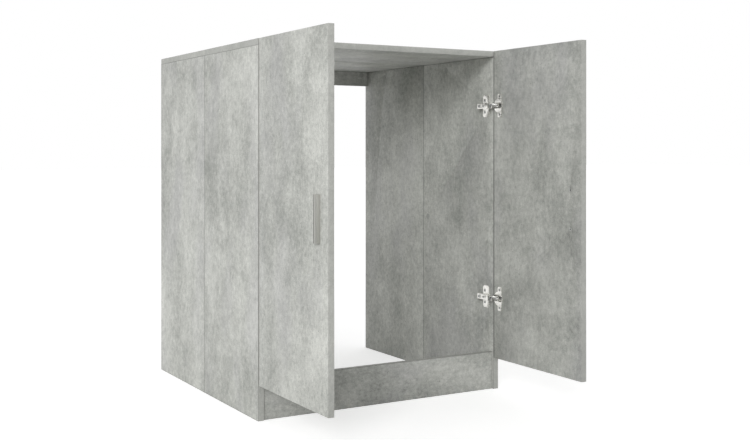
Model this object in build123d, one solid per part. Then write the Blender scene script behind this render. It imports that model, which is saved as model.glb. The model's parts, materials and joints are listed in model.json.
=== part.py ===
"""Washing machine cabinet: an open-backed carcass of split boards with two hinged doors.

Frame: millimetres, X to the right, Y to the back, Z up. The origin is on the floor, on the
cabinet's centre line, in the plane of the side boards' front edges. Both doors stand open
at a right angle, which is the rest position.
"""

from build123d import *
import math
import os

# Carcass
overall_width = 710.0
overall_height = 915.0
closed_depth = 715.0
board = 15.0
plinth_height = 100.0
plinth_setback = 6.0
rail_height = 45.0

# Doors, closed and open
closed_gap = 2.6
open_gap = 2.89
open_inset = 0.77
door_reveal = 0.88
centre_gap = 3.0
door_bottom = 85.0

# Hinge places, from the door's ends
upper_hinge_drop = 148.0
lower_hinge_rise = 162.0

# Linkage, seen from above: door pins from the door's hinge edge and inner face, arm pins from
# the side board's inner face and front edge
inner_pin_setback = 9.39
inner_pin_depth = 2.74
outer_pin_setback = 8.32
outer_pin_depth = 6.6
arm_pin_reach = 23.25
outer_arm_pin_inset = 13.75
outer_arm_pin_lead = 7.76
pin_radius = 1.1
arm_pin_end = 0.3
cup_pin_grip = 2.8

# Links, side by side on the pins
link_hub = 2.3
link_thickness = 3.0
link_middle_gap = 0.4
link_side_gap = 0.2

# Hinge cup in the door
cup_radius = 17.5
cup_depth = 11.8
cup_edge_distance = 3.0
pocket_half_width = 7.5
pocket_floor = 1.2
pocket_near_wall = 2.0
pocket_far_wall = 2.7
flange_thickness = 1.2
flange_width = 17.0
flange_length = 64.0
flange_corner = 2.5
flange_setback = 18.0
flange_rim = 1.5
flange_hole_pitch = 48.0
flange_hole_setback = 27.0

# Closing spring on the pocket's floor
spring_thickness = 0.7
spring_half_width = 3.0
spring_base = 12.0
spring_rise = 1.0
spring_tip_gap = 0.2
spring_end_gap = 0.3

# Hinge arm
arm_half_width = 7.0
arm_wall = 1.2
arm_nose_radius = 2.8
arm_crown = 19.1
arm_crown_back = 10.0
arm_height = 13.5
arm_ramp_end = 18.0
arm_back = 56.0
arm_lift = 3.0
arm_throat = 4.0
arm_throat_inset = 9.7

# Mounting plate on the side board
plate_hole_setback = 37.0
plate_hole_pitch = 32.0
wing_thickness = 2.0
wing_width = 27.0
wing_length = 60.0
wing_corner = 4.0
wing_setback = 18.0
rail_front = 22.0
rail_back = 52.0
rail_side_gap = 0.1

# Screws
plate_screw_head = 4.3
plate_screw_radius = 3.0
plate_screw_length = 11.0
cup_screw_head = 3.6
cup_screw_radius = 1.8
cup_screw_length = 10.0
arm_screw_head = 4.6
arm_screw_head_height = 2.2
arm_screw_radius = 2.6
arm_screw_length = 6.0
fixing_screw_back = 46.0
adjusting_screw_back = 27.0

# Handle
handle_length = 105.5
handle_hole_pitch = 96.0
handle_width = 16.5
handle_foot = 9.0
handle_projection = 8.2
handle_finger_gap = 5.0
handle_inner_bend = 2.0
handle_outer_bend = 0.8
handle_edge_distance = 45.0
handle_middle_drop = 414.0
handle_groove_width = 3.0
handle_groove_depth = 1.2
handle_groove_setback = 1.6
handle_screw_head = 4.2
handle_screw_head_height = 2.4
handle_screw_radius = 2.0
handle_screw_grip = 5.0

# Board fasteners
dowel_radius = 4.0
dowel_in_face = 10.0
dowel_in_edge = 20.0
dowel_in_seam = 15.0
end_room = 0.5
cam_radius = 7.5
cam_depth = 12.0
cam_setback = 24.0
cam_bolt_radius = 3.0
cam_bolt_neck = 2.4
cam_bolt_grip = 10.0
cam_cap_radius = 8.5
cam_cap_thickness = 0.5

# Places of the fasteners
seam_dowel_heights = (150.0, 750.0)
seam_cam_height = 450.0
seam_dowel_offset = 220.0
corner_cam_inset = 120.0
corner_dowel_inset = 60.0
plinth_cam_height = 65.0
plinth_dowel_height = 30.0
rail_fixing_spread = 10.0

# Flat sides of the small repeated pieces: those hidden in the boards, those with a head, an
# eye or an end that is seen, and the cups' rims
hidden_sides = 6
seen_sides = 10
rim_sides = 24

# Clearances
fit = 0.04
slip = 0.2

# Worked-out sizes of the carcass
carcass_depth = closed_depth - board - closed_gap
half_depth = carcass_depth / 2
side_height = overall_height - board
half_width = overall_width / 2
inner_half = half_width - board
rail_bottom = side_height - rail_height

# Worked-out sizes of the doors, which stand open
quarter_turn = 90.0
full_turn = 360.0
door_width = half_width - door_reveal - centre_gap / 2
door_inner_x = open_inset
door_edge_y = -open_gap
upper_hinge_height = overall_height - upper_hinge_drop
lower_hinge_height = door_bottom + lower_hinge_rise
hinge_heights = {"upper": upper_hinge_height, "lower": lower_hinge_height}
cup_centre_y = door_edge_y - cup_edge_distance - cup_radius
handle_y = door_edge_y - door_width + handle_edge_distance
handle_middle = overall_height - handle_middle_drop

X_OUT = Vector(1, 0, 0)
Y_OUT = Vector(0, 1, 0)
Z_OUT = Vector(0, 0, 1)


# Motion of the left door, seen from above in the hinge frame. A share of 0 is the open door
# at a right angle, and a share of 1 is the closed door


def shut_point(setback, depth):
    """A point of the closed door, from its hinge edge and its inner face."""
    return Vector(door_reveal - board + setback, -closed_gap - depth)


def open_point(setback, depth):
    """The same point of the open door."""
    return Vector(open_inset - depth, -open_gap - setback)


def heading(start, end):
    """The direction from one point to another, in degrees."""
    return math.degrees(math.atan2(end.Y - start.Y, end.X - start.X))


def bearing(start, angle, length):
    """The point at a distance from another one, along a direction in degrees."""
    turn = math.radians(angle)
    return start + Vector(math.cos(turn), math.sin(turn)) * length


def turn_pole():
    """The point about which a single quarter turn would carry the closed door to the open one."""
    across = board - door_reveal + open_inset
    along = open_gap - closed_gap
    return shut_point((across - along) / 2, (across + along) / 2)


pole = turn_pole()
inner_pin = open_point(inner_pin_setback, inner_pin_depth)
inner_pin_shut = shut_point(inner_pin_setback, inner_pin_depth)
outer_pin_seat = open_point(outer_pin_setback, outer_pin_depth)
# The inner arm pin is as far from the open door pin as from the closed one
inner_arm_pin = bearing(pole, heading(pole, inner_pin_shut) - quarter_turn / 2, arm_pin_reach)
outer_arm_pin = Vector(outer_arm_pin_inset, -outer_arm_pin_lead)
inner_link_turn = heading(inner_arm_pin, inner_pin_shut) - heading(inner_arm_pin, inner_pin)
inner_link_turn = (inner_link_turn + full_turn / 2) % full_turn - full_turn / 2


def door_point_at(point, share):
    """Where the inner link carries a point of the open door at a share of the closing."""
    pin = bearing(
        inner_arm_pin,
        heading(inner_arm_pin, inner_pin) + inner_link_turn * share,
        (inner_pin - inner_arm_pin).length,
    )
    return pin + (point - inner_pin).rotate(Axis.Z, quarter_turn * share)


def seat_heading(share):
    """The direction from the outer arm pin to the outer pin's seat in the door."""
    return heading(outer_arm_pin, door_point_at(outer_pin_seat, share)) % full_turn


# The outer link turns at a steady rate that meets its real direction near both ends
steady_shares = (0.15, 0.85)
travel_steps = 20
travel_shares = [step / travel_steps for step in range(-1, travel_steps + 1)]
early_share, late_share = steady_shares
outer_rate = (seat_heading(late_share) - seat_heading(early_share)) / (late_share - early_share)
outer_heading = seat_heading(early_share) - outer_rate * early_share
seat_reaches = [(door_point_at(outer_pin_seat, s) - outer_arm_pin).length for s in travel_shares]
outer_link_length = (min(seat_reaches) + max(seat_reaches)) / 2
outer_pin = bearing(outer_arm_pin, outer_heading, outer_link_length)


def seat_miss(share):
    """How far the outer link's pin is from its seat in the door."""
    pin = bearing(outer_arm_pin, outer_heading + outer_rate * share, outer_link_length)
    return (pin - door_point_at(outer_pin_seat, share)).length


open_pivot_room = max(seat_miss(share) for share in travel_shares)


def block(x_low, x_high, y_low, y_high, z_low, z_high):
    """A box between two corners."""
    size = (x_high - x_low, y_high - y_low, z_high - z_low)
    return Pos(x_low, y_low, z_low) * Box(*size, align=(Align.MIN, Align.MIN, Align.MIN))


def rod(start, direction, length, radius):
    """A round bar that starts at a point and runs along a direction."""
    bar = Cylinder(radius, length, align=(Align.CENTER, Align.CENTER, Align.MIN))
    return Plane(origin=start, z_dir=direction) * bar


def peg(start, direction, length, radius, sides=hidden_sides):
    """A bar with flat sides, whose corners lie at the radius."""
    outline = Plane(origin=start, z_dir=direction) * RegularPolygon(radius, sides)
    return extrude(outline, length)


def eye(start, direction, length, radius):
    """The room for a round pin: flat sides that all clear the radius."""
    sides = RegularPolygon(radius, seen_sides, major_radius=False)
    return extrude(Plane(origin=start, z_dir=direction) * sides, length)


def tab(width, length, corner):
    """An upright oblong outline with cut corners."""
    return chamfer(Rectangle(width, length).vertices(), corner)


def screw(start, direction, head, head_height, shank, length):
    """A screw whose head starts at a point, with its shank running on along the direction."""
    start = Vector(*start)
    top = peg(start, direction, head_height, head, seen_sides)
    return top + peg(start, direction, head_height + length, shank)


def one(shape):
    """The single solid of a shape that a boolean leaves wrapped in a compound."""
    solids = shape.solids()
    if len(solids) != 1:
        raise ValueError(f"expected one solid, found {len(solids)}")
    return solids[0]


def mirrored(shape):
    """The same piece on the cabinet's other side."""
    return mirror(shape, about=Plane.YZ)


# Fasteners between two boards. A point lies on the plane where the boards meet, in the middle
# of the edge that carries the fastener, and "into" points from that board into the other one


def dowel(point, into, behind, ahead):
    """A wooden dowel that reaches back into one board and ahead into the other."""
    return peg(point - into * behind, into, behind + ahead, dowel_radius)


def dowel_hole(point, into, behind, ahead):
    """The two aligned holes of a dowel, with room at both ends."""
    back = behind + end_room
    return peg(point - into * back, into, back + ahead + end_room, dowel_radius + fit)


def cam_lock(point, into, opens):
    """The round cam lock, in a pocket that opens on the board's inner face."""
    centre = point - into * cam_setback + opens * (board / 2)
    lock = peg(centre - opens * cam_depth, opens, cam_depth, cam_radius, seen_sides)
    return lock - peg(point - into * cam_setback, into, cam_setback, cam_bolt_radius + fit)


def cam_bolt(point, into, opens):
    """The bolt that screws into the other board and ends inside the cam lock."""
    neck = peg(point - into * cam_setback, into, cam_setback, cam_bolt_neck)
    return neck + peg(point, into, cam_bolt_grip, cam_bolt_radius)


def cam_cap(point, into, opens):
    """The thin cover cap on the cam lock."""
    centre = point - into * cam_setback + opens * (board / 2)
    return peg(centre, opens, cam_cap_thickness, cam_cap_radius, seen_sides)


def cam_room(point, into, opens):
    """What a cam lock and its bolt take out of the two boards."""
    centre = point - into * cam_setback + opens * (board / 2)
    depth = cam_depth + slip
    pocket = peg(centre - opens * depth, opens, depth, cam_radius + fit, seen_sides)
    reach = cam_setback + cam_bolt_grip + end_room
    return pocket + peg(point - into * cam_setback, into, reach, cam_bolt_radius + fit)


def dowel_places():
    """Every dowel as (point, into, behind, ahead)."""
    places = []
    for side in (-1, 1):
        edge_x = side * (half_width - board / 2)
        for height in seam_dowel_heights:
            point = Vector(edge_x, half_depth, height)
            places.append((point, Y_OUT, dowel_in_seam, dowel_in_seam))
        for start in (0, half_depth):
            point = Vector(edge_x, start + corner_dowel_inset, side_height)
            places.append((point, Z_OUT, dowel_in_edge, dowel_in_face))
        point = Vector(side * seam_dowel_offset, half_depth, overall_height - board / 2)
        places.append((point, Y_OUT, dowel_in_seam, dowel_in_seam))
        plinth_y = plinth_setback + board / 2
        point = Vector(side * inner_half, plinth_y, plinth_dowel_height)
        places.append((point, X_OUT * side, dowel_in_edge, dowel_in_face))
        rail_y = carcass_depth - board / 2
        point = Vector(side * inner_half, rail_y, rail_bottom + rail_fixing_spread)
        places.append((point, X_OUT * side, dowel_in_edge, dowel_in_face))
    return places


def cam_places():
    """Every cam lock as (point, into, opens)."""
    places = []
    for side in (-1, 1):
        edge_x = side * (half_width - board / 2)
        inward = X_OUT * -side
        places.append((Vector(edge_x, half_depth, seam_cam_height), Y_OUT, inward))
        for start in (0, half_depth):
            point = Vector(edge_x, start + half_depth - corner_cam_inset, side_height)
            places.append((point, Z_OUT, inward))
        plinth_y = plinth_setback + board / 2
        point = Vector(side * inner_half, plinth_y, plinth_cam_height)
        places.append((point, X_OUT * side, Y_OUT))
        rail_y = carcass_depth - board / 2
        point = Vector(side * inner_half, rail_y, side_height - rail_fixing_spread)
        places.append((point, X_OUT * side, -Y_OUT))
    places.append((Vector(0, half_depth, overall_height - board / 2), Y_OUT, -Z_OUT))
    return places


DOWELS = dowel_places()
CAMS = cam_places()


def drilled(shape):
    """A board with every dowel and cam hole that reaches into it."""
    box = shape.bounding_box()
    for point, into, behind, ahead in DOWELS:
        hole = dowel_hole(point, into, behind, ahead)
        if touches(box, hole.bounding_box()):
            shape = shape - hole
    for point, into, opens in CAMS:
        room = cam_room(point, into, opens)
        if touches(box, room.bounding_box()):
            shape = shape - room
    return shape


def touches(one_box, other_box):
    """Whether two bounding boxes share some room."""
    low_a, high_a = one_box.min, one_box.max
    low_b, high_b = other_box.min, other_box.max
    return all(
        low < high
        for low, high in (
            (low_a.X, high_b.X),
            (low_b.X, high_a.X),
            (low_a.Y, high_b.Y),
            (low_b.Y, high_a.Y),
            (low_a.Z, high_b.Z),
            (low_b.Z, high_a.Z),
        )
    )


# Boards of the carcass


def left_side_board(front, back):
    """One of the two boards that make a side, with its plate screw holes."""
    shape = block(-half_width, -inner_half, front, back, 0, side_height)
    if front < plate_hole_setback < back:
        for height in hinge_heights.values():
            for point in plate_screw_points(height):
                depth = wing_thickness + plate_screw_length + end_room
                shape = shape - peg(point, -X_OUT, depth, plate_screw_radius + fit)
    return shape


def top_board(front, back):
    """One of the two boards of the top, which lies on the sides."""
    return drilled(block(-half_width, half_width, front, back, side_height, overall_height))


def plinth_board():
    """The board between the sides at the floor, set back behind the doors."""
    back = plinth_setback + board
    return drilled(block(-inner_half, inner_half, plinth_setback, back, 0, plinth_height))


def rear_top_rail():
    """The rail between the sides at the back, under the top."""
    front = carcass_depth - board
    return drilled(block(-inner_half, inner_half, front, carcass_depth, rail_bottom, side_height))


# Hinge pieces of the left side. Their X is counted from the side board's inner face


def at_hinge(shape, height):
    """Move a hinge piece from its own frame to its place on the left side."""
    return Pos(-inner_half, 0, height) * shape


def plate_screw_points(height):
    """The two screw heads of a mounting plate."""
    reach = plate_hole_pitch / 2
    x = -inner_half + wing_thickness
    return [Vector(x, plate_hole_setback, height + up * reach) for up in (-1, 1)]


def mounting_plate():
    """The plate: two broad wings with a screw each, and the raised rail for the arm."""
    half_rail = arm_half_width - arm_wall - rail_side_gap
    rail_top = arm_height - arm_wall
    wing_y = wing_setback + wing_width / 2
    wing_plane = Plane(origin=(0, wing_y, 0), x_dir=Y_OUT, z_dir=X_OUT)
    wing_face = wing_plane * tab(wing_width, wing_length, wing_corner)
    plate = extrude(wing_face, wing_thickness)
    plate = plate + block(0, rail_top, rail_front, rail_back, -half_rail, half_rail)
    for point in plate_screw_points(0):
        local = point + X_OUT * inner_half
        plate = plate - peg(local, -X_OUT, wing_thickness, plate_screw_head + fit, seen_sides)
    depth = arm_wall + arm_screw_length + slip
    for place in arm_screw_points():
        plate = plate - peg(place, -X_OUT, depth, arm_screw_radius + fit)
    return one(plate)


def upright(outline, half):
    """Extrude an outline seen from above, evenly up and down."""
    return extrude(outline, half, both=True)


def disc(point, radius):
    """A round outline about a point seen from above."""
    return Pos(point.X, point.Y) * RegularPolygon(radius, seen_sides)


def cheek_outline():
    """One cheek of the arm: a rounded nose round both arm pins, a ramp and the long tail."""
    crown_centre = Vector(arm_crown - arm_nose_radius, inner_arm_pin.Y)
    corners = (inner_arm_pin, outer_arm_pin, crown_centre)
    rounds = [disc(point, arm_nose_radius) for point in corners]
    nose = make_hull([edge for outline in rounds for edge in outline.edges()])
    tail = Polyline(
        (arm_crown, inner_arm_pin.Y),
        (arm_crown, arm_crown_back),
        (arm_height, arm_ramp_end),
        (arm_height, arm_back),
        (arm_lift, arm_back),
        (arm_lift, arm_throat),
        (arm_throat_inset, 0),
        (inner_arm_pin.X, inner_arm_pin.Y),
        close=True,
    )
    return nose + make_face(tail)


def hinge_arm():
    """The arm: a channel over the mounting plate, whose nose carries both arm pins."""
    cheek = cheek_outline()
    solid = upright(cheek, arm_half_width)
    walls = solid - upright(cheek, arm_half_width - arm_wall)
    web = solid - Pos(-arm_wall, 0, 0) * solid
    web_low = arm_height - arm_wall
    half = arm_half_width
    above = block(web_low, arm_crown, inner_arm_pin.Y, arm_back, -half, half)
    arm = walls + (web & above)
    for point in (inner_arm_pin, outer_arm_pin):
        low_end = point - Z_OUT * arm_half_width
        arm = arm - eye(low_end, Z_OUT, 2 * arm_half_width, pin_radius + fit)
    for place in arm_screw_points():
        arm = arm - peg(place, -X_OUT, arm_wall + slip, arm_screw_radius + fit)
    return one(arm)


def arm_screw_points():
    """The undersides of the fixing screw's and the overlay adjusting screw's heads."""
    return [Vector(arm_height, back, 0) for back in (fixing_screw_back, adjusting_screw_back)]


def arm_screws():
    """The fixing screw with its broad head, and the overlay adjusting screw."""
    heads = (arm_screw_head, arm_screw_radius + arm_wall / 2)
    height = arm_screw_head_height
    length = arm_wall + arm_screw_length
    return [
        screw(place + X_OUT * height, -X_OUT, head, height, arm_screw_radius, length)
        for place, head in zip(arm_screw_points(), heads)
    ]


def plate_screws():
    """The two screws that hold the mounting plate, at height zero."""
    shapes = []
    for point in plate_screw_points(0):
        local = point + X_OUT * inner_half
        shapes.append(
            screw(
                local,
                -X_OUT,
                plate_screw_head,
                wing_thickness,
                plate_screw_radius,
                plate_screw_length,
            )
        )
    return shapes


def arm_pin(point):
    """A pin through both cheeks of the arm, whose riveted ends stand proud of them."""
    reach = arm_half_width + arm_pin_end
    return rod(point - Z_OUT * reach, Z_OUT, 2 * reach, pin_radius)


def link(arm_end, door_end, up):
    """A link with a hub at each end. Up is 1 for the upper place on the pins, -1 for the lower."""
    low = link_middle_gap / 2
    height = arm_half_width - arm_wall - link_side_gap - low
    length = (door_end - arm_end).length
    frame = Plane(origin=arm_end + Z_OUT * up * low, x_dir=door_end - arm_end, z_dir=Z_OUT * up)
    bar = Pos(length / 2, 0) * Rectangle(length, link_thickness)
    hub = RegularPolygon(link_hub, seen_sides)
    hole = RegularPolygon(pin_radius + fit, seen_sides, major_radius=False)
    outline = bar + hub + Pos(length, 0) * hub - hole - Pos(length, 0) * hole
    return one(extrude(frame * outline, height))


def inner_link():
    """The upper link, from the arm's rear pin to the cup's shallow pin."""
    return link(inner_arm_pin, inner_pin, 1)


def outer_link():
    """The lower link, from the arm's front pin to the cup's deep pin."""
    return link(outer_arm_pin, outer_pin, -1)


def cup_pin():
    """The inner link's door pin, from the pocket's middle into its upper wall."""
    start = inner_pin + Z_OUT * link_middle_gap / 2
    length = pocket_half_width + cup_pin_grip - link_middle_gap / 2
    return rod(start, Z_OUT, length, pin_radius)


def outer_link_pin():
    """The outer link's door pin, which moves with that link in a wide seat in the lower wall."""
    start = outer_pin - Z_OUT * link_middle_gap / 2
    length = pocket_half_width + cup_pin_grip - link_middle_gap / 2
    return peg(start, -Z_OUT, length, pin_radius, seen_sides)


def flange_screw_points():
    """The two screw heads of a cup's flange."""
    y = door_edge_y - flange_hole_setback
    reach = flange_hole_pitch / 2
    return [Vector(open_inset + flange_thickness, y, up * reach) for up in (-1, 1)]


def pocket_ends():
    """The pocket's near and far walls, along Y."""
    near = door_edge_y - cup_edge_distance - pocket_near_wall
    far = cup_centre_y - cup_radius + pocket_far_wall
    return near, far


def pin_seat(point, up, radius):
    """The hole of a door pin in the pocket's upper or lower wall."""
    start = point + Z_OUT * up * (pocket_half_width - slip)
    return eye(start, Z_OUT * up, cup_pin_grip + slip + end_room, radius)


def hinge_cup():
    """The cup sunk in the door, with its screwed flange and the pocket for the links."""
    near, far = pocket_ends()
    cup = rod((open_inset - cup_depth, cup_centre_y, 0), X_OUT, cup_depth, cup_radius)
    plate_y = door_edge_y - flange_setback - flange_width / 2
    ear_plane = Plane(origin=(open_inset, plate_y, 0), x_dir=Y_OUT, z_dir=X_OUT)
    ear_face = ear_plane * tab(flange_width, flange_length, flange_corner)
    cup = cup + extrude(ear_face, flange_thickness)
    rim_start = Vector(open_inset, cup_centre_y, 0)
    rim_radius = cup_radius + flange_rim
    cup = cup + peg(rim_start, X_OUT, flange_thickness, rim_radius, rim_sides)
    floor = open_inset - cup_depth + pocket_floor
    mouth = open_inset + flange_thickness
    cup = cup - block(floor, mouth, far, near, -pocket_half_width, pocket_half_width)
    cup = cup - block(open_inset, mouth, near, door_edge_y, -pocket_half_width, pocket_half_width)
    cup = cup - pin_seat(inner_pin, 1, pin_radius + fit)
    cup = cup - pin_seat(outer_pin_seat, -1, pin_radius + open_pivot_room + slip)
    for point in flange_screw_points():
        cup = cup - peg(point, -X_OUT, flange_thickness, cup_screw_head + fit, seen_sides)
    return one(cup)


def closing_spring():
    """The leaf spring on the pocket's floor, whose free end rises towards the links."""
    floor = open_inset - cup_depth + pocket_floor
    foot = pocket_ends()[1] + spring_end_gap
    bend = foot + spring_base
    tip = outer_pin.Y - link_hub - open_pivot_room - spring_tip_gap
    outline = Polyline(
        (floor, foot),
        (floor, bend),
        (floor + spring_rise, tip),
        (floor + spring_rise + spring_thickness, tip),
        (floor + spring_thickness, bend),
        (floor + spring_thickness, foot),
        close=True,
    )
    return one(upright(make_face(outline), spring_half_width))


def cup_screws():
    """The two wood screws of a cup's flange."""
    return [
        screw(point, -X_OUT, cup_screw_head, flange_thickness, cup_screw_radius, cup_screw_length)
        for point in flange_screw_points()
    ]


# The left door and its handle, open


def handle_points():
    """Where the two handle screws cross the door's outer face, in the middle of the foot."""
    reach = handle_hole_pitch / 2
    x = -inner_half + door_inner_x - board
    y = handle_y - handle_width / 2 + handle_foot / 2
    return [Vector(x, y, handle_middle + up * reach) for up in (-1, 1)]


def left_door_panel():
    """The door board with its cup holes, screw holes and handle holes."""
    outer = -inner_half + door_inner_x - board
    inner = -inner_half + door_inner_x
    panel = block(outer, inner, door_edge_y - door_width, door_edge_y, door_bottom, overall_height)
    for height in hinge_heights.values():
        start = Vector(open_inset - cup_depth - slip, cup_centre_y, 0)
        cup = rod(start, X_OUT, cup_depth + slip, cup_radius + fit)
        panel = panel - at_hinge(cup, height)
        for point in flange_screw_points():
            depth = flange_thickness + cup_screw_length + slip
            hole = peg(point, -X_OUT, depth, cup_screw_radius + fit)
            panel = panel - at_hinge(hole, height)
    for point in handle_points():
        head = handle_screw_head + fit
        sink = handle_screw_head_height + fit
        panel = panel - peg(point, X_OUT, board, handle_screw_radius + fit)
        panel = panel - peg(point + X_OUT * (board - sink), X_OUT, sink, head, seen_sides)
    return one(panel)


def left_handle():
    """A low grip strip: a foot on the door, a lip to reach behind and two grooves down its face."""
    outer = -inner_half + door_inner_x - board
    front = outer - handle_projection
    back = outer - handle_finger_gap
    near = handle_y - handle_width / 2
    far = handle_y + handle_width / 2
    low = handle_middle - handle_length / 2
    high = handle_middle + handle_length / 2
    outline = FilletPolyline(
        (outer, near),
        (outer, near + handle_foot),
        (back, near + handle_foot),
        (back, far),
        (front, far),
        (front, near),
        close=True,
        radius=[0, 0, handle_inner_bend, handle_outer_bend, handle_outer_bend, handle_outer_bend],
    )
    strip = extrude(Pos(0, 0, low) * make_face(outline), handle_length)
    for groove_near in (
        near + handle_groove_setback,
        far - handle_groove_setback - handle_groove_width,
    ):
        groove_far = groove_near + handle_groove_width
        floor = front + handle_groove_depth
        strip = strip - block(front, floor, groove_near, groove_far, low, high)
    for point in handle_points():
        strip = strip - peg(point, -X_OUT, handle_screw_grip + slip, handle_screw_radius + fit)
    return one(strip)


def left_handle_screws():
    """The two screws through the door into the handle's foot."""
    length = board - handle_screw_head_height + handle_screw_grip
    return [
        screw(
            point + X_OUT * board,
            -X_OUT,
            handle_screw_head,
            handle_screw_head_height,
            handle_screw_radius,
            length,
        )
        for point in handle_points()
    ]


def group(shapes):
    """Several equal pieces in one node, each a solid of its own."""
    return Compound([one(shape) for shape in shapes])


def at_hinges(shape):
    """A hinge piece at both heights of the left side."""
    return [at_hinge(shape, height) for height in hinge_heights.values()]


def carcass_nodes():
    """Boards and the fasteners between them."""
    front_side = left_side_board(0, half_depth)
    rear_side = left_side_board(half_depth, carcass_depth)
    return {
        "left_side_front_board": one(drilled(front_side)),
        "left_side_rear_board": one(drilled(rear_side)),
        "right_side_front_board": one(drilled(mirrored(front_side))),
        "right_side_rear_board": one(drilled(mirrored(rear_side))),
        "top_front_board": one(top_board(0, half_depth)),
        "top_rear_board": one(top_board(half_depth, carcass_depth)),
        "plinth_board": one(plinth_board()),
        "rear_top_rail": one(rear_top_rail()),
        "wooden_dowels": group([dowel(*place) for place in DOWELS]),
        "cam_locks": group([cam_lock(*place) for place in CAMS]),
        "cam_bolts": group([cam_bolt(*place) for place in CAMS]),
        "cam_caps": group([cam_cap(*place) for place in CAMS]),
    }


def hinge_nodes():
    """The four hinges' main pieces, and their small pieces in groups."""
    pieces = {
        "hinge_arm": hinge_arm(),
        "mounting_plate": mounting_plate(),
        "inner_link": inner_link(),
        "outer_link": outer_link(),
        "hinge_cup": hinge_cup(),
    }
    nodes = {}
    for name, height in hinge_heights.items():
        for piece, shape in pieces.items():
            placed = at_hinge(shape, height)
            nodes[f"left_{name}_{piece}"] = placed
            nodes[f"right_{name}_{piece}"] = mirrored(placed)
    fixed = {
        "mounting_plate_screws": plate_screws(),
        "hinge_arm_screws": arm_screws(),
        "arm_pins": [arm_pin(inner_arm_pin), arm_pin(outer_arm_pin)],
    }
    for name, shapes in fixed.items():
        left = [placed for shape in shapes for placed in at_hinges(shape)]
        nodes[name] = group(left + [mirrored(shape) for shape in left])
    moving = {
        "cup_pins": [cup_pin()],
        "outer_link_pins": [outer_link_pin()],
        "cup_screws": cup_screws(),
        "closing_springs": [closing_spring()],
    }
    for name, shapes in moving.items():
        left = [placed for shape in shapes for placed in at_hinges(shape)]
        nodes[f"left_{name}"] = group(left)
        nodes[f"right_{name}"] = group([mirrored(shape) for shape in left])
    return nodes


def door_nodes():
    """The two doors with their handles."""
    left = {
        "door_panel": left_door_panel(),
        "handle": left_handle(),
        "handle_screws": group(left_handle_screws()),
    }
    nodes = {}
    for name, shape in left.items():
        nodes[f"left_{name}"] = shape
        nodes[f"right_{name}"] = mirrored(shape)
    return nodes


os.makedirs("parts", exist_ok=True)
for node, solid in {**carcass_nodes(), **hinge_nodes(), **door_nodes()}.items():
    export_step(solid, f"parts/{node}.step")

print("inner arm pin", inner_arm_pin, "inner door pin", inner_pin)
print("outer arm pin", outer_arm_pin, "outer link pin", outer_pin)
print("inner link turns", inner_link_turn, "and outer link", outer_rate, "while the door closes")
print("room at the open pivot", open_pivot_room)
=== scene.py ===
"""The looks of a washing machine cabinet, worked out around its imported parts.

Everything is in metres, in the parts' own frame: X to the right, Y to the back, Z up. The parts
keep their place. Boards, grips and hinge pieces get rounded edges, screws get driven heads, and
each piece gets its finish.
"""

import json
import math

import bmesh
import bpy
import numpy as np
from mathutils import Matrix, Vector


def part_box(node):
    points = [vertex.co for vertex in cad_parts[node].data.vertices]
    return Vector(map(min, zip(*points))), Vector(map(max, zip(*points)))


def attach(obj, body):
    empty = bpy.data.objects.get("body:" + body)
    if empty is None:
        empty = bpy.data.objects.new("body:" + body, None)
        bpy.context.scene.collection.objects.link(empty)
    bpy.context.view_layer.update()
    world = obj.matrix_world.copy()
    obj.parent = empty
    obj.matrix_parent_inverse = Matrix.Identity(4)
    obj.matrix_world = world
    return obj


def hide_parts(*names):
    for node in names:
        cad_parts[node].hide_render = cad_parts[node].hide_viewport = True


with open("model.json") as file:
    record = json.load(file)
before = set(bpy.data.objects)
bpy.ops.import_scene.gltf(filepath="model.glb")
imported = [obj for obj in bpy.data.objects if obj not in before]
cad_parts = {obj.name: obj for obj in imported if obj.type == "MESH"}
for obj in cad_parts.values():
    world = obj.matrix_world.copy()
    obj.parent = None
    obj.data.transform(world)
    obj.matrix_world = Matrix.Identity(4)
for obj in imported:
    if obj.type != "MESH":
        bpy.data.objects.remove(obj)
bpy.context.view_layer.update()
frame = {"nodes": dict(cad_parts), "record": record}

MM = 0.001
TURN = 2 * math.pi
QUARTER = TURN / 4
X, Y, Z = range(3)
scene = bpy.context.scene
scene.view_settings.view_transform = "Standard"

# The photograph's frame in pixels, the film in millimetres, and the camera's place and turn
PICTURE_WIDTH = 750
PICTURE_HEIGHT = 440
FOCAL_PIXELS = 1068.80
CENTRE_COLUMN = 368.28
HORIZON_ROW = 148.62
FILM_WIDTH = 36.0
CAMERA_PLACE = (-1.40126, -2.33977, 0.65115)
CAMERA_YAW = 29.971

# Light, where a strength of 1 shows a colour about as it is written
ROOM_LIGHT = 0.56
STUDIO_GLOW = 1.0
LAMPS = {
    # name: strength, softness in degrees, where it comes from
    "key_lamp": (0.22, 50.0, (-0.95, 0.0, 0.30)),
    "front_lamp": (1.28, 26.0, (-0.67, -0.72, 0.42)),
    "back_lamp": (0.55, 60.0, (0.60, 0.70, 0.40)),
}
FLOOR_SIZE = 60.0
FLOOR_TONE = 0.80
FLOOR_LIFT = 0.50

# The display curve of sRGB: a straight foot up to its knee, and a power beyond it
SRGB_KNEE = 0.04045
SRGB_FOOT_SLOPE = 12.92
SRGB_OFFSET = 0.055
SRGB_POWER = 2.4


def srgb(red, green, blue):
    """A colour given in display values from 0 to 255, as linear light."""
    display = np.array([red, green, blue]) / 255
    curved = ((display + SRGB_OFFSET) / (1 + SRGB_OFFSET)) ** SRGB_POWER
    linear = np.where(display <= SRGB_KNEE, display / SRGB_FOOT_SLOPE, curved)
    return (*(float(value) for value in linear), 1.0)


def grey(level):
    """A neutral colour of a linear level, where 1 is white."""
    return (level, level, level, 1.0)


WHITE = grey(1.0)


# Shader nodes

# A colour mix's inputs for the factor and the two colours, and its colour output
MIX_INPUTS = (0, 6, 7)
MIX_OUTPUT = 2


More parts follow.
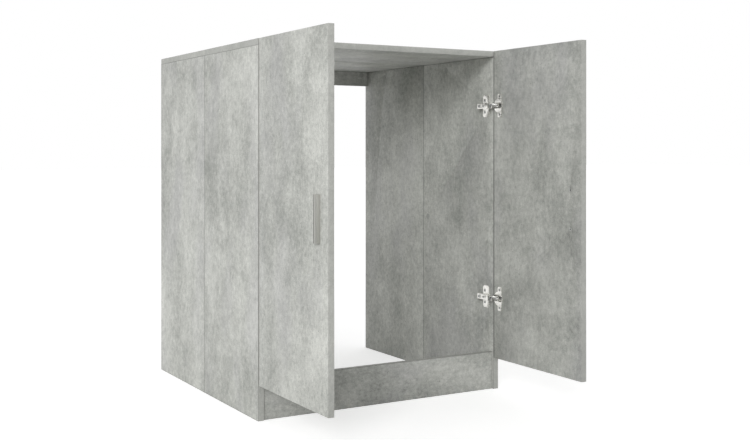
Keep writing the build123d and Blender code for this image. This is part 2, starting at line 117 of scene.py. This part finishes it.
def feed(tree, socket, value):
    """Wire an input to another socket, or set it to a plain value."""
    if isinstance(value, bpy.types.NodeSocket):
        tree.links.new(value, socket)
    else:
        socket.default_value = value


def add(tree, kind, values=None, **settings):
    """A node with its settings, whose inputs are wired to sockets or set to plain values."""
    made = tree.nodes.new(kind)
    for name, value in settings.items():
        setattr(made, name, value)
    for name, value in (values or {}).items():
        feed(tree, made.inputs[name], value)
    return made


def maths(tree, operation, *values, clamp=False):
    """The result of one sum, product or other operation on sockets or numbers."""
    values = dict(enumerate(values))
    return add(tree, "ShaderNodeMath", values, operation=operation, use_clamp=clamp).outputs[0]


def blend_colours(tree, factor, first, second, mode="MIX"):
    """Two colours mixed by a factor."""
    values = dict(zip(MIX_INPUTS, (factor, first, second)))
    made = add(tree, "ShaderNodeMix", values, data_type="RGBA", blend_type=mode)
    return made.outputs[MIX_OUTPUT]


# Camera, light and floor


def place_camera():
    """The photograph's level camera. The shift puts its centre column and horizon in place."""
    lens = bpy.data.cameras.new("photograph_camera")
    lens.sensor_fit = "HORIZONTAL"
    lens.sensor_width = FILM_WIDTH
    lens.lens = FOCAL_PIXELS * FILM_WIDTH / PICTURE_WIDTH
    lens.shift_x = (PICTURE_WIDTH / 2 - CENTRE_COLUMN) / PICTURE_WIDTH
    lens.shift_y = (HORIZON_ROW - PICTURE_HEIGHT / 2) / PICTURE_WIDTH
    camera = bpy.data.objects.new("photograph_camera", lens)
    camera.location = CAMERA_PLACE
    camera.rotation_euler = (QUARTER, 0, -math.radians(CAMERA_YAW))
    scene.collection.objects.link(camera)
    scene.camera = camera


def plain_view_rays(tree):
    """1 for a ray that should see the plain white studio, straight or in metal, else 0."""
    path = add(tree, "ShaderNodeLightPath").outputs
    seen = maths(tree, "MAXIMUM", path["Is Camera Ray"], path["Is Glossy Ray"])
    return maths(tree, "MAXIMUM", seen, path["Is Transmission Ray"])


def light_room():
    """Even light from all around, in a studio that looks white."""
    world = bpy.data.worlds.new("white_studio")
    scene.world = world
    world.use_nodes = True
    tree = world.node_tree
    tree.nodes.clear()
    lit = add(tree, "ShaderNodeBackground", {"Color": WHITE, "Strength": ROOM_LIGHT})
    seen = add(tree, "ShaderNodeBackground", {"Color": WHITE, "Strength": STUDIO_GLOW})
    values = {0: plain_view_rays(tree), 1: lit.outputs[0], 2: seen.outputs[0]}
    mix = add(tree, "ShaderNodeMixShader", values)
    add(tree, "ShaderNodeOutputWorld", {"Surface": mix.outputs[0]})


def hang_lamps():
    """Broad lamps: one low on the left, one in front on the left, and a weak one behind."""
    for name, (strength, softness, direction) in LAMPS.items():
        light = bpy.data.lights.new(name, "SUN")
        light.energy = strength
        light.angle = math.radians(softness)
        lamp = bpy.data.objects.new(name, light)
        lamp.rotation_euler = Vector(direction).to_track_quat("Z", "Y").to_euler()
        scene.collection.objects.link(lamp)


def lay_floor():
    """A pale floor that keeps the cabinet's shadow and looks white where it is open."""
    half = FLOOR_SIZE / 2
    corners = [(-half, -half, 0), (half, -half, 0), (half, half, 0), (-half, half, 0)]
    mesh = bpy.data.meshes.new("studio_floor")
    mesh.from_pydata(corners, [], [(0, 1, 2, 3)])
    floor = bpy.data.objects.new("studio_floor", mesh)
    scene.collection.objects.link(floor)
    material = bpy.data.materials.new("studio_floor")
    material.use_nodes = True
    tree = material.node_tree
    tree.nodes.clear()
    matt = add(tree, "ShaderNodeBsdfDiffuse", {"Color": grey(FLOOR_TONE)})
    lift = maths(tree, "MULTIPLY", plain_view_rays(tree), FLOOR_LIFT)
    glow = add(tree, "ShaderNodeEmission", {"Color": WHITE, "Strength": lift})
    both = add(tree, "ShaderNodeAddShader", {0: matt.outputs[0], 1: glow.outputs[0]})
    add(tree, "ShaderNodeOutputMaterial", {"Surface": both.outputs[0]})
    mesh.materials.append(material)


place_camera()
light_room()
hang_lamps()
lay_floor()


# Noises, and the ranges that their values are taken from

NOISES = {
    # name: cells along the grain for each one across it, cells per metre, detail, roughness
    "clouds": (0.8, 4.5, 4.0, 0.55),
    "drifts": (1.7, 10.0, 5.0, 0.65),
    "smears": (0.4, 17.0, 5.0, 0.6),
    "mottle": (1.0, 85.0, 5.0, 0.75),
    "fibres": (0.36, 190.0, 3.0, 0.6),
    "grain": (1.0, 380.0, 2.0, 0.7),
    "pore_clusters": (0.5, 9.0, 2.0, 0.5),
    "lilac_patches": (0.4, 7.0, 2.0, 0.5),
    "drawn_lines": (0.02, 1800.0, 3.0, 0.6),
    "moulded_grain": (1.0, 2200.0, 2.0, 0.6),
    "cap_shades": (1.0, 60.0, 2.0, 0.5),
    "beech_pores": (0.1, 900.0, 3.0, 0.6),
}
MIDDLE = 0.5
WHOLE_RANGE = (0.0, 1.0)
# Most of a noise's values lie in the first of these, and nearly all in the second
NOISE_CORE = (0.35, 0.65)
NOISE_BODY = (0.3, 0.7)


def noise(tree, place, along, cells, detail, roughness):
    """Noise from 0 to 1, whose grain runs along Z."""
    scaled = add(tree, "ShaderNodeMapping", {"Vector": place, "Scale": (1, 1, along)}).outputs[0]
    values = {"Vector": scaled, "Scale": cells, "Detail": detail, "Roughness": roughness}
    return add(tree, "ShaderNodeTexNoise", values).outputs["Fac"]


def centred(tree, value, amount):
    """A 0 to 1 value as a swing about zero, times an amount."""
    return maths(tree, "MULTIPLY", maths(tree, "SUBTRACT", value, MIDDLE), amount)


def spread(tree, value, taken, given=WHOLE_RANGE):
    """A value mapped from the range taken to the range given, and kept inside it."""
    values = {"Value": value, "From Min": taken[0], "From Max": taken[1]}
    values.update({"To Min": given[0], "To Max": given[1]})
    return add(tree, "ShaderNodeMapRange", values, clamp=True).outputs[0]


# Effects that several finishes share, each a node group

COLOUR = "NodeSocketColor"
NUMBER = "NodeSocketFloat"
VECTOR = "NodeSocketVector"


def new_group(name, inputs, outputs):
    """An empty node group with its named sockets, as (tree, input sockets, output sockets)."""
    tree = bpy.data.node_groups.new(name, "ShaderNodeTree")
    for side, sockets in (("INPUT", inputs), ("OUTPUT", outputs)):
        for label, kind in sockets.items():
            tree.interface.new_socket(label, in_out=side, socket_type=kind)
    entry = tree.nodes.new("NodeGroupInput").outputs
    leave = tree.nodes.new("NodeGroupOutput").inputs
    return tree, entry, leave


def place_group(tree, group, values):
    """The outputs of a group placed in a material with its own values."""
    return add(tree, "ShaderNodeGroup", values, node_tree=group).outputs


# The concrete print: what each layer adds to the tone, from its darkest to its lightest
TONE_SWINGS = {
    "clouds": 1.3,
    "drifts": 0.7,
    "smears": 0.75,
    "mottle": 1.35,
    "fibres": 0.6,
    "grain": 0.9,
}
PRINT_DARK = srgb(148, 150, 145)
PRINT_LIGHT = srgb(219, 220, 214)
DARK_TO_LIGHT_ROUGHNESS = (0.62, 0.48)
MOTTLE_RELIEF = 0.6
GRAIN_RELIEF = 0.5

# Its pores, one in a cell at most: a cell has one where its chance is over the limit
PORE_CELLS = 95.0
PORE_CORE_TO_RIM = (0.07, 0.18)
PORE_CORE_TO_RIM_MASK = (1.0, 0.0)
PORE_DARKENING = 0.7
CLUSTER_RIM_TO_CORE = (0.5, 0.62)
CLUSTER_RIM_TO_CORE_LIMIT = (0.97, 0.72)

# Its patches of a faint lilac tint
LILAC = srgb(188, 186, 191)
LILAC_RIM_TO_CORE = (0.50, 0.66)
LILAC_SHARE = 0.2


def print_pores(tree, place):
    """A mask of small round pores that sit in clusters."""
    pores = add(tree, "ShaderNodeTexVoronoi", {"Vector": place, "Scale": PORE_CELLS})
    chance = add(tree, "ShaderNodeSeparateColor", {"Color": pores.outputs["Color"]}).outputs[0]
    clusters = noise(tree, place, *NOISES["pore_clusters"])
    limit = spread(tree, clusters, CLUSTER_RIM_TO_CORE, CLUSTER_RIM_TO_CORE_LIMIT)
    picked = maths(tree, "GREATER_THAN", chance, limit)
    away = pores.outputs["Distance"]
    disc = spread(tree, away, PORE_CORE_TO_RIM, PORE_CORE_TO_RIM_MASK)
    return maths(tree, "MULTIPLY", picked, disc)


def concrete_print():
    """The printed concrete pattern, with its grain along Z: colour, roughness and height.

    Its tone is a sum of swings about zero: broad clouds, drifts across them, upright trowel
    smears, a mottle, short fibres and grain. Dark pores sit in clusters on top of it.
    """
    outputs = {"Color": COLOUR, "Roughness": NUMBER, "Height": NUMBER}
    tree, entry, leave = new_group("concrete_print", {"Vector": VECTOR}, outputs)
    place = entry["Vector"]
    layers = {name: noise(tree, place, *NOISES[name]) for name in TONE_SWINGS}
    tone = 0.0
    for name, swing in TONE_SWINGS.items():
        tone = maths(tree, "ADD", tone, centred(tree, layers[name], swing))
    tone = maths(tree, "ADD", tone, MIDDLE, clamp=True)
    pore = print_pores(tree, place)
    tone = maths(tree, "SUBTRACT", tone, maths(tree, "MULTIPLY", pore, PORE_DARKENING), clamp=True)
    colour = blend_colours(tree, tone, PRINT_DARK, PRINT_LIGHT)
    tint = spread(tree, noise(tree, place, *NOISES["lilac_patches"]), LILAC_RIM_TO_CORE)
    colour = blend_colours(tree, maths(tree, "MULTIPLY", tint, LILAC_SHARE), colour, LILAC)
    relief = maths(tree, "SUBTRACT", centred(tree, layers["mottle"], MOTTLE_RELIEF), pore)
    relief = maths(tree, "ADD", relief, centred(tree, layers["grain"], GRAIN_RELIEF))
    feed(tree, leave["Color"], colour)
    feed(tree, leave["Roughness"], spread(tree, tone, WHOLE_RANGE, DARK_TO_LIGHT_ROUGHNESS))
    feed(tree, leave["Height"], relief)
    return tree


def board_rim():
    """How near a point of a board's broad face is to the board's edges: 1 on the edge, where the
    painted joint shade is darkest.

    The distance is the least of those to the box's low and high sides, where the board's own
    thickness is taken as far away.
    """
    inputs = {"Vector": VECTOR, "Low": VECTOR, "High": VECTOR, "Width": NUMBER}
    tree, entry, leave = new_group("board_rim", inputs, {"Mask": NUMBER})
    sides = []
    for first, second in (("Vector", "Low"), ("High", "Vector")):
        values = {0: entry[first], 1: entry[second]}
        sides.append(add(tree, "ShaderNodeVectorMath", values, operation="SUBTRACT").outputs[0])
    values = {0: sides[0], 1: sides[1]}
    least = add(tree, "ShaderNodeVectorMath", values, operation="MINIMUM").outputs[0]
    parts = add(tree, "ShaderNodeSeparateXYZ", {0: least}).outputs
    nearest = maths(tree, "MINIMUM", maths(tree, "MINIMUM", parts[X], parts[Y]), parts[Z])
    share = maths(tree, "DIVIDE", nearest, entry["Width"])
    feed(tree, leave["Mask"], maths(tree, "SUBTRACT", 1.0, share, clamp=True))
    return tree


# Marks of handling: wide patches and fine marks, each as (detail, roughness)
PATCH_NOISE = (3.0, 0.6)
FINE_NOISE = (3.0, 0.7)
PATCH_CELLS_PER_FINE_CELL = 0.2
PATCH_SHARE = 0.6


def worn_metal():
    """Marks of handling on metal: a patchy roughness and a fine height, at a scale per metre."""
    inputs = {"Vector": VECTOR, "Scale": NUMBER, "Smooth": NUMBER, "Rough": NUMBER}
    outputs = {"Tone": NUMBER, "Roughness": NUMBER, "Height": NUMBER}
    tree, entry, leave = new_group("worn_metal", inputs, outputs)
    wide = maths(tree, "MULTIPLY", entry["Scale"], PATCH_CELLS_PER_FINE_CELL)
    patches = noise(tree, entry["Vector"], 1, wide, *PATCH_NOISE)
    fine = noise(tree, entry["Vector"], 1, entry["Scale"], *FINE_NOISE)
    patch_part = maths(tree, "MULTIPLY", patches, PATCH_SHARE)
    fine_part = maths(tree, "MULTIPLY", fine, 1 - PATCH_SHARE)
    both = maths(tree, "ADD", patch_part, fine_part)
    roughness = spread(tree, both, NOISE_CORE, (entry["Smooth"], entry["Rough"]))
    feed(tree, leave["Tone"], patches)
    feed(tree, leave["Roughness"], roughness)
    feed(tree, leave["Height"], fine)
    return tree


CONCRETE_PRINT = concrete_print()
BOARD_RIM = board_rim()
WORN_METAL = worn_metal()


# Finishes, whose reliefs are each (strength, depth of the full swing)


def new_finish(name, **constants):
    """An empty finish as (material, tree, shader, place), with constants set on the shader."""
    material = bpy.data.materials.new(name)
    material.use_nodes = True
    tree = material.node_tree
    shader = tree.nodes["Principled BSDF"]
    for label, value in constants.items():
        shader.inputs[label.replace("_", " ")].default_value = value
    place = add(tree, "ShaderNodeTexCoord").outputs["Object"]
    return material, tree, shader, place


def coat(tree, shader, colour, roughness, height, relief):
    """Wire a finish's colour and roughness to its shader, and a relief from its height."""
    feed(tree, shader.inputs["Base Color"], colour)
    feed(tree, shader.inputs["Roughness"], roughness)
    strength, depth = relief
    bump = add(tree, "ShaderNodeBump", {"Height": height, "Strength": strength, "Distance": depth})
    feed(tree, shader.inputs["Normal"], bump.outputs[0])


# The turn that lays the print's grain, which runs along Z, along a board's own
GRAIN_TURNS = {Z: (0, 0, 0), X: (0, QUARTER, 0)}
BOARDS = {
    # node: thickness axis, grain axis, level of painted light and shade, width of its painted
    # joint shade, where its print starts
    "left_side_front_board": (X, Z, 1.0, 2.4 * MM, (5.21, 7.07, 9.32)),
    "left_side_rear_board": (X, Z, 1.0, 2.4 * MM, (4.81, 5.41, 6.82)),
    "right_side_front_board": (X, Z, 1.0, 3.0 * MM, (2.13, 1.27, 0.85)),
    "right_side_rear_board": (X, Z, 1.0, 2.0 * MM, (3.27, 1.91, 1.30)),
    "left_door_panel": (X, Z, 1.06, 2.0 * MM, (9.26, 9.38, 11.02)),
    "right_door_panel": (X, Z, 0.91, 3.8 * MM, (8.90, 7.83, 8.62)),
    "top_front_board": (Z, X, 1.0, 2.0 * MM, (6.62, 3.71, 2.65)),
    "top_rear_board": (Z, X, 1.0, 2.0 * MM, (7.74, 4.33, 3.10)),
    "plinth_board": (Y, X, 0.81, 2.0 * MM, (10.73, 7.58, 7.12)),
    "rear_top_rail": (Y, X, 1.0, 2.0 * MM, (9.93, 5.57, 4.00)),
}
FAR = 10.0
LAMINATE_SPECULAR = 0.35
LAMINATE_RELIEF = (0.35, 0.15 * MM)
# Painted shade of the gaps between boards, darkest at a board's edge
JOINT_SHADE_COLOUR = srgb(70, 70, 68)
JOINT_SHADE_SHARE = 0.95
BANDING_COLOUR = srgb(173, 174, 169)
BANDING_SHARE = 0.6
# Where a face's normal has less than this along the thickness, the face is an edge
BROAD_FACING = 0.5


def board_finish(node, thickness, grain, shade, joint_shade_width, start):
    """Concrete-look laminate on a board, with plainer banded edges and painted shade along its
    joints.

    A door has the painted joint shade along its hinge side alone. The board's level of painted
    light and shade makes its print lighter or darker.
    """
    material, tree, shader, place = new_finish(
        node + "_laminate", Specular_IOR_Level=LAMINATE_SPECULAR
    )
    values = {"Vector": place, "Location": start, "Rotation": GRAIN_TURNS[grain]}
    turned = add(tree, "ShaderNodeMapping", values).outputs[0]
    printed = place_group(tree, CONCRETE_PRINT, {"Vector": turned})
    low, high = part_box(node)
    low[thickness] -= FAR
    high[thickness] += FAR
    if node.endswith("door_panel"):
        low[Y] -= FAR
        low[Z] -= FAR
        high[Z] += FAR
    values = {"Vector": place, "Low": low, "High": high, "Width": joint_shade_width}
    near = place_group(tree, BOARD_RIM, values)["Mask"]
    normal = add(tree, "ShaderNodeTexCoord").outputs["Normal"]
    facing = add(tree, "ShaderNodeSeparateXYZ", {0: normal}).outputs[thickness]
    edge = maths(tree, "LESS_THAN", maths(tree, "ABSOLUTE", facing), BROAD_FACING)
    broad = maths(tree, "SUBTRACT", 1.0, edge)
    # Painted shade of the joint gap, on the broad faces near the edges
    close = maths(tree, "MULTIPLY", near, near)
    joint_shade = maths(tree, "MULTIPLY", maths(tree, "MULTIPLY", close, broad), JOINT_SHADE_SHARE)
    # Painted light and shade: the print made lighter or darker by the board's level
    shaded = blend_colours(tree, 1.0, printed["Color"], grey(shade), "MULTIPLY")
    banding = maths(tree, "MULTIPLY", edge, BANDING_SHARE)
    banded = blend_colours(tree, banding, shaded, BANDING_COLOUR)
    colour = blend_colours(tree, joint_shade, banded, JOINT_SHADE_COLOUR)
    coat(tree, shader, colour, printed["Roughness"], printed["Height"], LAMINATE_RELIEF)
    return material


METALS = {
    # finish: colour, roughness where it is smooth, and where it is rough
    "nickel": (srgb(242, 241, 236), 0.22, 0.36),
    "link_steel": (srgb(178, 178, 175), 0.36, 0.50),
    "screw_steel": (srgb(205, 206, 205), 0.25, 0.42),
    "spring_steel": (srgb(176, 177, 178), 0.22, 0.38),
    "zinc": (srgb(186, 189, 192), 0.35, 0.5),
}
METAL_MARKS = 400.0
METAL_RELIEF = (0.15, 0.05 * MM)
DULL_SHARE = 0.90


def worn(tree, place, marks, smooth, rough):
    """The marks of handling on a finish, at a number of them per metre."""
    values = {"Vector": place, "Scale": marks, "Smooth": smooth, "Rough": rough}
    return place_group(tree, WORN_METAL, values)


def metal_finish(name, colour, smooth, rough):
    """A plated or plain metal with marks of handling."""
    material, tree, shader, place = new_finish(name, Metallic=1.0)
    marks = worn(tree, place, METAL_MARKS, smooth, rough)
    dull = (*(DULL_SHARE * value for value in colour[:3]), 1.0)
    colour = blend_colours(tree, spread(tree, marks["Tone"], NOISE_CORE), dull, colour)
    coat(tree, shader, colour, marks["Roughness"], marks["Height"], METAL_RELIEF)
    return material


# A screw's driven head
DRIVEN_MARKS = 900.0
DRIVEN_RELIEF = (0.15, 0.03 * MM)
# Painted shade that darkens a screw head's cross recess
RECESS_SHADE_COLOUR = srgb(74, 74, 73)


def driven_finish():
    """Screw steel whose cross recess has painted shade and is rougher, from the heads' own
    attribute.
    """
    material, tree, shader, place = new_finish("driven_steel", Metallic=1.0)
    steel, smooth, rough = METALS["screw_steel"]
    marks = worn(tree, place, DRIVEN_MARKS, smooth, rough)
    recess = add(tree, "ShaderNodeAttribute", attribute_name="recess").outputs["Fac"]
    # Painted shade in the cross recess
    colour = blend_colours(tree, recess, steel, RECESS_SHADE_COLOUR)
    roughness = maths(tree, "MAXIMUM", marks["Roughness"], recess)
    coat(tree, shader, colour, roughness, marks["Height"], DRIVEN_RELIEF)
    return material


# The grips' lacquer
LACQUER_COLOURS = (srgb(168, 168, 162), srgb(187, 187, 181))
LACQUER_METALLIC = 0.25
LACQUER_MARKS = 500.0
LACQUER_ROUGHNESS = (0.34, 0.48)
LACQUER_RELIEF = (0.2, 0.03 * MM)
# The grips' grooves: their painted shade, then from a grip's side to a groove's middle, and from
# there to its walls
GROOVE_SHADE_COLOUR = srgb(78, 78, 74)
GROOVE_SETBACK = 3.1 * MM
GROOVE_FLOOR_TO_WALL = (1.2 * MM, 1.7 * MM)
GROOVE_FLOOR_TO_WALL_MASK = (1.0, 0.0)


def handle_finish():
    """Satin grey lacquer on a drawn metal strip, with faint lines along it and painted shade in
    its grooves.

    The right grip's grooves lie as far forward as the left one's.
    """
    material, tree, shader, place = new_finish("satin_grey_lacquer", Metallic=LACQUER_METALLIC)
    low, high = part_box("left_handle")
    across = add(tree, "ShaderNodeSeparateXYZ", {0: place}).outputs[Y]
    gaps = []
    for middle in (low[Y] + GROOVE_SETBACK, high[Y] - GROOVE_SETBACK):
        gaps.append(maths(tree, "ABSOLUTE", maths(tree, "SUBTRACT", across, middle)))
    nearest = maths(tree, "MINIMUM", *gaps)
    groove = spread(tree, nearest, GROOVE_FLOOR_TO_WALL, GROOVE_FLOOR_TO_WALL_MASK)
    lines = noise(tree, place, *NOISES["drawn_lines"])
    marks = worn(tree, place, LACQUER_MARKS, *LACQUER_ROUGHNESS)
    colour = blend_colours(tree, spread(tree, lines, NOISE_BODY), *LACQUER_COLOURS)
    # Painted shade in the grooves
    colour = blend_colours(tree, groove, colour, GROOVE_SHADE_COLOUR)
    coat(tree, shader, colour, marks["Roughness"], lines, LACQUER_RELIEF)
    return material


# The cover caps' plastic
CAP_COLOURS = (srgb(158, 159, 155), srgb(170, 171, 167))
CAP_ROUGHNESS = (0.38, 0.55)
CAP_RELIEF = (0.3, 0.04 * MM)


def plastic_finish():
    """Moulded grey plastic of the cover caps, with a fine spark-eroded grain."""
    material, tree, shader, place = new_finish("cap_plastic")
    grain = noise(tree, place, *NOISES["moulded_grain"])
    shade = spread(tree, noise(tree, place, *NOISES["cap_shades"]), NOISE_BODY)
    colour = blend_colours(tree, shade, *CAP_COLOURS)
    roughness = spread(tree, grain, NOISE_BODY, CAP_ROUGHNESS)
    coat(tree, shader, colour, roughness, grain, CAP_RELIEF)
    return material


# The dowels' wood
BEECH_COLOURS = (srgb(196, 158, 116), srgb(222, 190, 150))
BEECH_ROUGHNESS = (0.6, 0.75)
BEECH_RELIEF = (0.4, 0.08 * MM)


def beech_finish():
    """Beech with fine pores drawn out along the dowel."""
    material, tree, shader, place = new_finish("beech")
    pores = noise(tree, place, *NOISES["beech_pores"])
    colour = blend_colours(tree, spread(tree, pores, NOISE_CORE), *BEECH_COLOURS)
    roughness = spread(tree, pores, NOISE_BODY, BEECH_ROUGHNESS)
    coat(tree, shader, colour, roughness, pores, BEECH_RELIEF)
    return material


def dress(piece, material):
    """Give a piece one finish."""
    piece.data.materials.clear()
    piece.data.materials.append(material)


DRIVEN_STEEL = driven_finish()
small_finishes = {name: metal_finish(name, *row) for name, row in METALS.items()}
small_finishes["satin_grey_lacquer"] = handle_finish()
small_finishes["cap_plastic"] = plastic_finish()
small_finishes["beech"] = beech_finish()
MADE_OF = {
    # finish: how the names of its nodes end
    "nickel": ("hinge_arm", "hinge_cup", "mounting_plate"),
    "link_steel": ("inner_link", "outer_link"),
    "screw_steel": ("screws",),
    "spring_steel": ("arm_pins", "cup_pins", "outer_link_pins", "closing_springs"),
    "zinc": ("cam_bolts", "cam_locks"),
    "satin_grey_lacquer": ("handle",),
    "cap_plastic": ("cam_caps",),
    "beech": ("wooden_dowels",),
}

finishes = {name: board_finish(name, *row) for name, row in BOARDS.items()}
for node_name in frame["nodes"]:
    for finish_name, endings in MADE_OF.items():
        if node_name.endswith(endings):
            finishes[node_name] = small_finishes[finish_name]

for node_name, finish in finishes.items():
    dress(frame["nodes"][node_name], finish)


# Parts with their edges rounded

RECORD = frame["record"]
BODY_OF = {node: body for body, nodes in RECORD["behaviour"]["bodies"].items() for node in nodes}
# Corners nearer than this are one, faces that meet flatter are one, and edges sharper are rounded
MERGE = 0.002 * MM
FLAT = math.radians(1.0)
SHARP = math.radians(40.0)
ROUNDINGS = {
    # node's ending: rounding of its edges, steps in it
    "board": (0.7 * MM, 2),
    "door_panel": (0.8 * MM, 2),
    "rear_top_rail": (0.7 * MM, 2),
    "handle": (0.25 * MM, 2),
    "hinge_arm": (0.45 * MM, 3),
    "hinge_cup": (0.3 * MM, 2),
    "mounting_plate": (0.5 * MM, 3),
    "inner_link": (0.3 * MM, 2),
    "outer_link": (0.3 * MM, 2),
}


def merged(mesh):
    """A mesh with its loose triangles joined, open for editing."""
    shell = bmesh.new()
    shell.from_mesh(mesh)
    bmesh.ops.remove_doubles(shell, verts=shell.verts, dist=MERGE)
    return shell


def smooth_mesh(shell, mesh):
    """Close an edited shell into a mesh with smooth shading."""
    for face in shell.faces:
        face.smooth = True
    shell.to_mesh(mesh)
    shell.free()


def hang_on(piece, node, finish):
    """Link a piece that moves with a node, and give it a finish."""
    scene.collection.objects.link(piece)
    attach(piece, BODY_OF[node])
    dress(piece, finish)


def rounded_part(node, width, steps):
    """A node's own shape with its flat faces made whole and its sharp edges rounded."""
    shell = merged(frame["nodes"][node].data)
    bmesh.ops.dissolve_limit(shell, angle_limit=FLAT, verts=shell.verts, edges=shell.edges)
    mesh = bpy.data.meshes.new(node + "_rounded")
    smooth_mesh(shell, mesh)
    piece = bpy.data.objects.new(node + "_rounded", mesh)
    rounding = piece.modifiers.new("rounded_edges", "BEVEL")
    rounding.width = width
    rounding.segments = steps
    rounding.limit_method = "ANGLE"
    rounding.angle_limit = SHARP
    rounding.harden_normals = True
    hang_on(piece, node, finishes[node])
    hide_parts(node)


for node_name in frame["nodes"]:
    for ending, (width, steps) in ROUNDINGS.items():
        if node_name.endswith(ending):
            rounded_part(node_name, width, steps)


# Screw heads with a cross recess

# The dome: its rise, how far its rim stands over the flat head, and how far the rim turns in
CROWN_RISE = 0.45 * MM
CROWN_STAND = 0.15 * CROWN_RISE
CROWN_SINK = 0.20 * CROWN_RISE
CROWN_RINGS = 14
CROWN_SPOKES = 48
# The cross, in shares of the head's radius but for its depth
CROSS_REACH = 0.62
CROSS_ARM = 0.13
CROSS_EDGE = 0.05
CROSS_DEPTH = 0.40 * MM
# How much further each screw of a node was driven than the one before
DRIVEN_ON = TURN / 9


def solids_of(node):
    """The corner points of each separate solid in a node, as arrays."""
    shell = merged(frame["nodes"][node].data)
    found = set()
    solids = []
    for first in shell.verts:
        if first in found:
            continue
        found.add(first)
        reached = [first]
        for corner in reached:
            for edge in corner.link_edges:
                other = edge.other_vert(corner)
                if other not in found:
                    found.add(other)
                    reached.append(other)
        solids.append(np.array([tuple(corner.co) for corner in reached]))
    shell.free()
    return solids


def head_of(solid):
    """A screw's head as (centre of its outer face, radius, outward X direction)."""
    ends = []
    for outward in (-1, 1):
        face = solid[:, X] * outward
        ring = solid[face > face.max() - MERGE]
        centre = ring.mean(axis=0)
        ends.append((np.linalg.norm(ring - centre, axis=1).max(), outward, centre))
    radius, outward, centre = max(ends, key=lambda end: end[0])
    return centre, radius, outward


def ramp(value, width):
    """0 below zero, 1 above the width, and t * t * (3 - 2 * t) at a share t of the width."""
    share = np.clip(value / width, 0, 1)
    return share * share * (3 - 2 * share)


def crown(head, turn):
    """A domed screw head with a cross recess, as (points, faces, recess shares).

    At radius share s the dome stands stand + rise * (1 - s * s) over the flat head. With u and v
    along the cross, its bars are where |u| or |v| is under the arm and s is under the reach, and
    the recess takes depth * (1 - s) off there. The last ring turns down into the head.
    """
    centre, radius, outward = head
    shares = np.append(np.linspace(0, 1, CROWN_RINGS), 1)
    angles = np.arange(CROWN_SPOKES) * TURN / CROWN_SPOKES
    s, a = np.meshgrid(shares, angles, indexing="ij")
    u, v = s * np.cos(a + turn), s * np.sin(a + turn)
    narrow = np.minimum(np.abs(u), np.abs(v))
    bars = ramp(CROSS_ARM + CROSS_EDGE - narrow, CROSS_EDGE) * ramp(CROSS_REACH - s, CROSS_EDGE)
    height = CROWN_RISE * (1 - s * s) + CROWN_STAND - bars * CROSS_DEPTH * (1 - s)
    height[-1] = -CROWN_SINK
    x = centre[X] + outward * height
    y = centre[Y] + s * radius * np.cos(a)
    z = centre[Z] + s * radius * np.sin(a)
    points = np.stack([x, y, z], axis=-1).reshape(-1, 3)
    faces = []
    for ring in range(len(shares) - 1):
        for spoke in range(CROWN_SPOKES):
            after = (spoke + 1) % CROWN_SPOKES
            low, high = ring * CROWN_SPOKES, (ring + 1) * CROWN_SPOKES
            corners = (low + spoke, high + spoke, high + after, low + after)
            faces.append(corners if outward > 0 else corners[::-1])
    return points, faces, bars.reshape(-1)


def screw_crowns(node):
    """The driven heads of all the screws in a node, in one piece over the plain ones."""
    points, faces, recess = [], [], []
    for number, solid in enumerate(solids_of(node)):
        head_points, head_faces, head_recess = crown(head_of(solid), number * DRIVEN_ON)
        start = len(points)
        points.extend(head_points.tolist())
        faces.extend(tuple(start + corner for corner in face) for face in head_faces)
        recess.extend(head_recess.tolist())
    mesh = bpy.data.meshes.new(node + "_crowns")
    mesh.from_pydata(points, [], faces)
    mesh.attributes.new("recess", "FLOAT", "POINT").data.foreach_set("value", recess)
    smooth_mesh(merged(mesh), mesh)
    piece = bpy.data.objects.new(node + "_crowns", mesh)
    hang_on(piece, node, DRIVEN_STEEL)


for node_name in frame["nodes"]:
    if node_name.endswith("screws"):
        screw_crowns(node_name)
